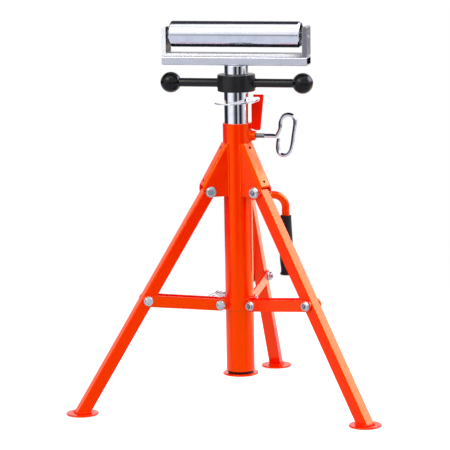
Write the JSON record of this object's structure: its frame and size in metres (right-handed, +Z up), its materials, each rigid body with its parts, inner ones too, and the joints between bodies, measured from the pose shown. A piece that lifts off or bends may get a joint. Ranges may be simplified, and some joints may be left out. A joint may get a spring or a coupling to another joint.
{
  "type": "roller stand",
  "caption": "Folding tripod roller stand with braced square legs, a telescoping chrome mast, a screw nut with ball handles and a steel roller in a U cradle.",
  "frame": {"origin": "centre of the underside of the column's foot, on the column's axis, 51 mm above the ground that the leg feet stand on", "axes": "+Z up along the column, +X along the roller towards the clamp screw, +Y away from the two front legs, towards the rear leg"},
  "size_m": [0.5722, 0.503, 0.6924],
  "materials": {
    "orange_paint": "gloss powder coat, light orange peel",
    "black_grip": "soft black PVC sleeve",
    "zinc": "zinc plated steel",
    "chrome": "polished chrome plate",
    "black_paint": "satin black powder coat",
    "black_plastic": "moulded black plastic",
    "bright_steel": "bright zinc plated, fine brush lines"
  },
  "bodies": {
    "column": {"column_tube": "orange_paint", "column_foot": "orange_paint", "hook_plate": "orange_paint", "clamp_boss": "orange_paint", "carry_handle_bar": "orange_paint", "carry_handle_grip": "black_grip", "leg_bracket_1": "orange_paint", "leg_bracket_2": "orange_paint", "leg_bracket_3": "orange_paint", "leg_pivot_bolt_1": "zinc", "leg_pivot_bolt_2": "zinc", "leg_pivot_bolt_3": "zinc"},
    "collar": {"collar": "orange_paint", "plunger_housing": "zinc", "collar_bolt_1": "zinc", "collar_bolt_2": "zinc", "collar_bolt_3": "zinc"},
    "plunger": {"lock_plunger": "zinc"},
    "pull_ring": {"pull_ring": "chrome"},
    "mast": {"mast_tube": "chrome"},
    "brake_ring": {"brake_ring": "chrome"},
    "clamp_screw": {"clamp_screw": "chrome"},
    "nut": {"nut_body": "black_paint", "nut_arm_right": "black_paint", "nut_arm_left": "black_paint", "nut_ball_right": "black_plastic", "nut_ball_left": "black_plastic"},
    "stem": {"stem_tube": "chrome"},
    "head": {"head_base": "bright_steel", "head_cradle": "bright_steel", "roller_axle": "zinc"},
    "roller": {"roller_tube": "bright_steel", "roller_cap_right": "zinc", "roller_cap_left": "zinc"},
    "leg_1": {"leg_tube_1": "orange_paint", "leg_foot_1": "orange_paint"},
    "brace_1": {"brace_1_bar_a": "orange_paint", "brace_1_bar_b": "orange_paint", "brace_1_bolt_head": "zinc", "brace_1_bolt_nut": "zinc"},
    "leg_2": {"leg_tube_2": "orange_paint", "leg_foot_2": "orange_paint"},
    "brace_2": {"brace_2_bar_a": "orange_paint", "brace_2_bar_b": "orange_paint", "brace_2_bolt_head": "zinc", "brace_2_bolt_nut": "zinc"},
    "leg_3": {"leg_tube_3": "orange_paint", "leg_foot_3": "orange_paint"},
    "brace_3": {"brace_3_bar_a": "orange_paint", "brace_3_bar_b": "orange_paint", "brace_3_bolt_head": "zinc", "brace_3_bolt_nut": "zinc"}
  },
  "joints": [
    {"name": "leg_1_fold", "type": "hinge", "parent": "column", "child": "leg_1", "pos_m": [-0.04763, -0.0275, 0.339], "axis": [0.5, -0.866, 0], "range_deg": [0, 27]},
    {"name": "leg_2_fold", "type": "hinge", "parent": "column", "child": "leg_2", "pos_m": [0.04763, -0.0275, 0.339], "axis": [0.5, 0.866, 0], "range_deg": [0, 27]},
    {"name": "leg_3_fold", "type": "hinge", "parent": "column", "child": "leg_3", "pos_m": [0, 0.055, 0.339], "axis": [-1, 0, 0], "range_deg": [0, 27]},
    {"name": "collar_slide", "type": "slide", "parent": "column", "child": "collar", "axis": [0, 0, 1], "range_m": [0, 0.11327]},
    {"name": "brace_1_swing", "type": "hinge", "parent": "collar", "child": "brace_1", "pos_m": [-0.03516, -0.0203, 0.132], "axis": [0.5, -0.866, 0], "range_deg": [0, 82.4]},
    {"name": "brace_2_swing", "type": "hinge", "parent": "collar", "child": "brace_2", "pos_m": [0.03516, -0.0203, 0.132], "axis": [0.5, 0.866, 0], "range_deg": [0, 82.4]},
    {"name": "brace_3_swing", "type": "hinge", "parent": "collar", "child": "brace_3", "pos_m": [0, 0.0406, 0.132], "axis": [-1, 0, 0], "range_deg": [0, 82.4]},
    {"name": "lock_plunger_pull", "type": "slide", "parent": "collar", "child": "plunger", "axis": [-0.866, 0.5, 0], "range_m": [0, 0.008], "stiffness_N_per_m": 600},
    {"name": "pull_ring_swing", "type": "hinge", "parent": "plunger", "child": "pull_ring", "pos_m": [-0.04677, 0.027, 0.1445], "axis": [-0.5, -0.866, 0], "range_deg": [-90, 60]},
    {"name": "mast_height", "type": "slide", "parent": "column", "child": "mast", "axis": [0, 0, 1], "range_m": [0, 0.33]},
    {"name": "brake_ring_tilt", "type": "hinge", "parent": "column", "child": "brake_ring", "pos_m": [0.0395, 0, 0.5007], "axis": [0, 1, 0], "range_deg": [0, 3.5]},
    {"name": "clamp_screw_turn", "type": "hinge", "parent": "column", "child": "clamp_screw", "pos_m": [0, 0, 0.4365], "axis": [1, 0, 0], "range_deg": [-720, 0]},
    {"name": "nut_turn", "type": "hinge", "parent": "mast", "child": "nut", "pos_m": [0, 0, 0.5309], "axis": [0, 0, 1], "range_deg": [-3600, 0]},
    {"name": "stem_lift", "type": "slide", "parent": "mast", "child": "stem", "axis": [0, 0, 1], "range_m": [0, 0.06]},
    {"name": "head_swivel", "type": "hinge", "parent": "stem", "child": "head", "pos_m": [0, 0, 0.5632], "axis": [0, 0, 1], "continuous": true},
    {"name": "roller_spin", "type": "hinge", "parent": "head", "child": "roller", "pos_m": [0, 0, 0.618], "axis": [1, 0, 0], "continuous": true}
  ],
  "couplings": [
    {"joint": "leg_2_fold", "follows": "leg_1_fold", "ratio": 1},
    {"joint": "leg_3_fold", "follows": "leg_1_fold", "ratio": 1},
    {"joint": "collar_slide", "follows": "leg_1_fold", "m_per_rad": 0.24037},
    {"joint": "brace_1_swing", "follows": "leg_1_fold", "ratio": 3.0513},
    {"joint": "brace_2_swing", "follows": "leg_1_fold", "ratio": 3.0513},
    {"joint": "brace_3_swing", "follows": "leg_1_fold", "ratio": 3.0513},
    {"joint": "stem_lift", "follows": "nut_turn", "m_per_rad": -0.00095493}
  ]
}
